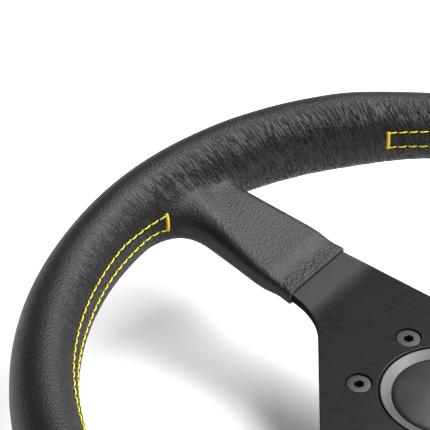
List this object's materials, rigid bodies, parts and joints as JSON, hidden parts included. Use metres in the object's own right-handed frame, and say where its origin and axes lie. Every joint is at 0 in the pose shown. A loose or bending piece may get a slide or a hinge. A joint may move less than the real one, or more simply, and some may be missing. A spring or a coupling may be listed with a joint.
{
  "type": "quick release steering wheel",
  "caption": "Leather-covered racing steering wheel with a dished metal spoke plate, a horn button and a ball-lock quick release hub behind it.",
  "frame": {"origin": "centre of the hub's rear end, on the column axis", "axes": "+Z along the column towards the driver, +Y to the wheel's 12 o'clock, +X to its 3 o'clock"},
  "size_m": [0.35, 0.35, 0.0842],
  "materials": {
    "black_leather": "matt, fine pebble grain",
    "padding_foam": "matt moulded skin",
    "black_anodised_plate": "brushed and black anodised",
    "bare_aluminium": "satin, turned or sawn",
    "black_steel": "black oxide",
    "bright_steel": "ground and polished",
    "spring_steel": "drawn wire",
    "contact_brass": "stamped, slightly tarnished",
    "black_plastic": "fine moulded texture",
    "grey_ring": "satin dark grey",
    "black_rubber": "matt"
  },
  "bodies": {
    "wheel": {"spoke_plate": "black_anodised_plate", "rim_core_ring": "bare_aluminium", "rim_foam": "padding_foam", "rim_leather": "black_leather", "spoke_rivet_1": "bare_aluminium", "spoke_rivet_2": "bare_aluminium", "spoke_rivet_3": "bare_aluminium", "spoke_rivet_4": "bare_aluminium", "spoke_rivet_5": "bare_aluminium", "spoke_rivet_6": "bare_aluminium", "hub_screw_1": "black_steel", "hub_screw_2": "black_steel", "hub_screw_3": "black_steel", "hub_screw_4": "black_steel", "hub_screw_5": "black_steel", "hub_screw_6": "black_steel", "horn_housing": "black_plastic", "horn_bezel": "grey_ring", "horn_contact_stud": "contact_brass", "horn_spring": "spring_steel", "horn_terminal_1": "contact_brass", "horn_terminal_2": "contact_brass", "adapter_flange": "black_anodised_plate", "socket_barrel": "bare_aluminium", "barrel_screw_1": "black_steel", "barrel_screw_2": "black_steel", "barrel_screw_3": "black_steel", "barrel_screw_4": "black_steel", "anti_rattle_ring": "black_rubber", "collar_spring": "spring_steel", "stop_washer": "bright_steel", "retaining_clip": "spring_steel"},
    "horn_button": {"horn_cap": "black_plastic", "horn_contact_disc": "contact_brass"},
    "collar": {"release_collar": "black_anodised_plate"},
    "lock_ball_1": {"lock_ball_1": "bright_steel"},
    "lock_ball_2": {"lock_ball_2": "bright_steel"},
    "lock_ball_3": {"lock_ball_3": "bright_steel"},
    "lock_ball_4": {"lock_ball_4": "bright_steel"},
    "lock_ball_5": {"lock_ball_5": "bright_steel"},
    "lock_ball_6": {"lock_ball_6": "bright_steel"}
  },
  "joints": [
    {"name": "horn_press", "type": "slide", "parent": "wheel", "child": "horn_button", "axis": [0, 0, -1], "range_m": [0, 0.0025], "stiffness_N_per_m": 400, "springref_m": -0.004, "deforming": ["horn_spring"]},
    {"name": "collar_pull", "type": "slide", "parent": "wheel", "child": "collar", "axis": [0, 0, 1], "range_m": [0, 0.005], "stiffness_N_per_m": 1500, "springref_m": -0.005, "deforming": ["collar_spring"]},
    {"name": "ball_1_slide", "type": "slide", "parent": "wheel", "child": "lock_ball_1", "axis": [1, 0, 0], "range_m": [0, 0.0019]},
    {"name": "ball_2_slide", "type": "slide", "parent": "wheel", "child": "lock_ball_2", "axis": [0.5, 0.866, 0], "range_m": [0, 0.0019]},
    {"name": "ball_3_slide", "type": "slide", "parent": "wheel", "child": "lock_ball_3", "axis": [-0.5, 0.866, 0], "range_m": [0, 0.0019]},
    {"name": "ball_4_slide", "type": "slide", "parent": "wheel", "child": "lock_ball_4", "axis": [-1, 0, 0], "range_m": [0, 0.0019]},
    {"name": "ball_5_slide", "type": "slide", "parent": "wheel", "child": "lock_ball_5", "axis": [-0.5, -0.866, 0], "range_m": [0, 0.0019]},
    {"name": "ball_6_slide", "type": "slide", "parent": "wheel", "child": "lock_ball_6", "axis": [0.5, -0.866, 0], "range_m": [0, 0.0019]}
  ],
  "couplings": [
    {"joint": "ball_1_slide", "follows": "collar_pull", "ratio": 0.38},
    {"joint": "ball_2_slide", "follows": "collar_pull", "ratio": 0.38},
    {"joint": "ball_3_slide", "follows": "collar_pull", "ratio": 0.38},
    {"joint": "ball_4_slide", "follows": "collar_pull", "ratio": 0.38},
    {"joint": "ball_5_slide", "follows": "collar_pull", "ratio": 0.38},
    {"joint": "ball_6_slide", "follows": "collar_pull", "ratio": 0.38}
  ]
}
